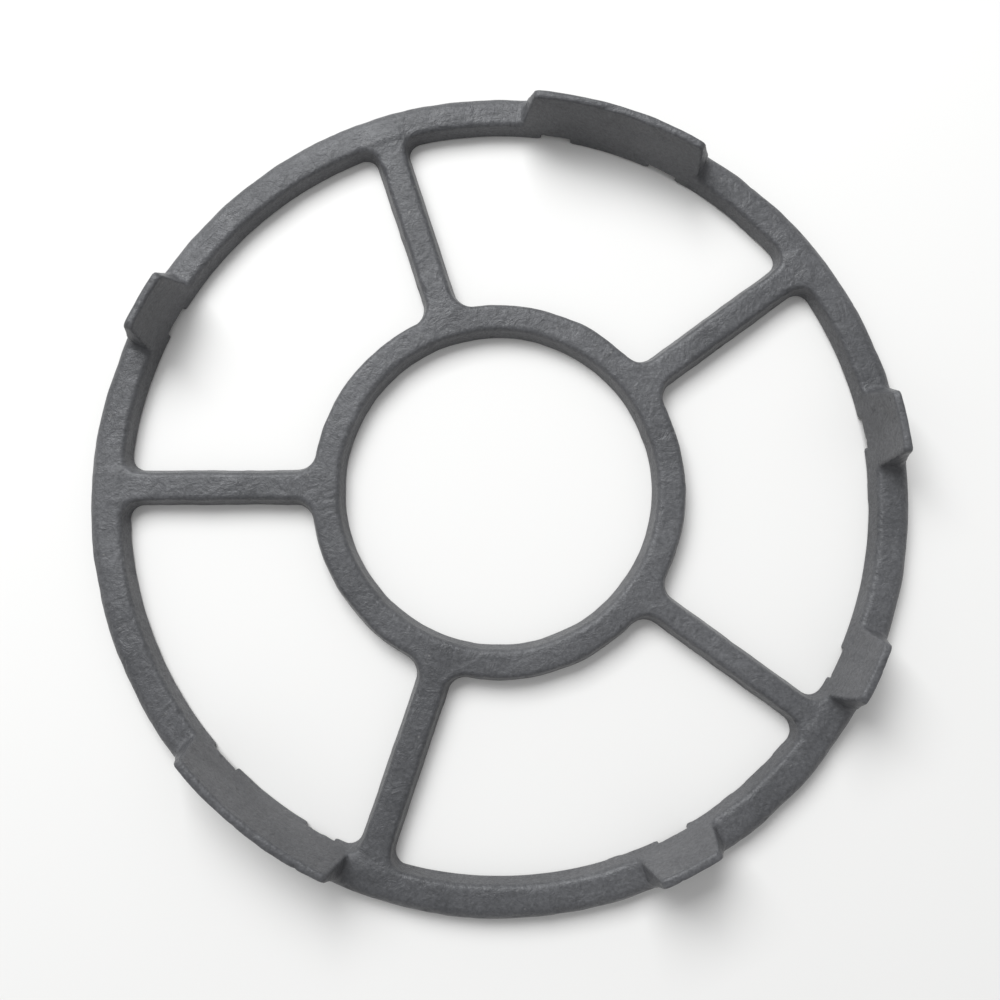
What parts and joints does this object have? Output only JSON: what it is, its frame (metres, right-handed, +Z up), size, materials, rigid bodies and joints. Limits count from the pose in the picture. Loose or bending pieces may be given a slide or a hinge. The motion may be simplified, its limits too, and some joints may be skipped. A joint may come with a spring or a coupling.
{
  "type": "gas hob trivet",
  "caption": "Cast trivet that lies on a gas hob's pan support: a flat spoked ring carries small pots, and wedge lugs on its rim cradle a round-bottomed pan.",
  "frame": {"origin": "centre of the ring, on the flat underside that lies on the hob", "axes": "+Z up, away from the hob; +X along the middle of the window between two spokes, 152.6 degrees clockwise from the notch that both finger layouts share"},
  "size_m": [0.18, 0.18, 0.0163],
  "materials": {
    "cast_iron": "as cast, fine sand grain, lightly burnished on the raised faces"
  },
  "bodies": {
    "root": {"trivet": "cast_iron"}
  },
  "joints": []
}
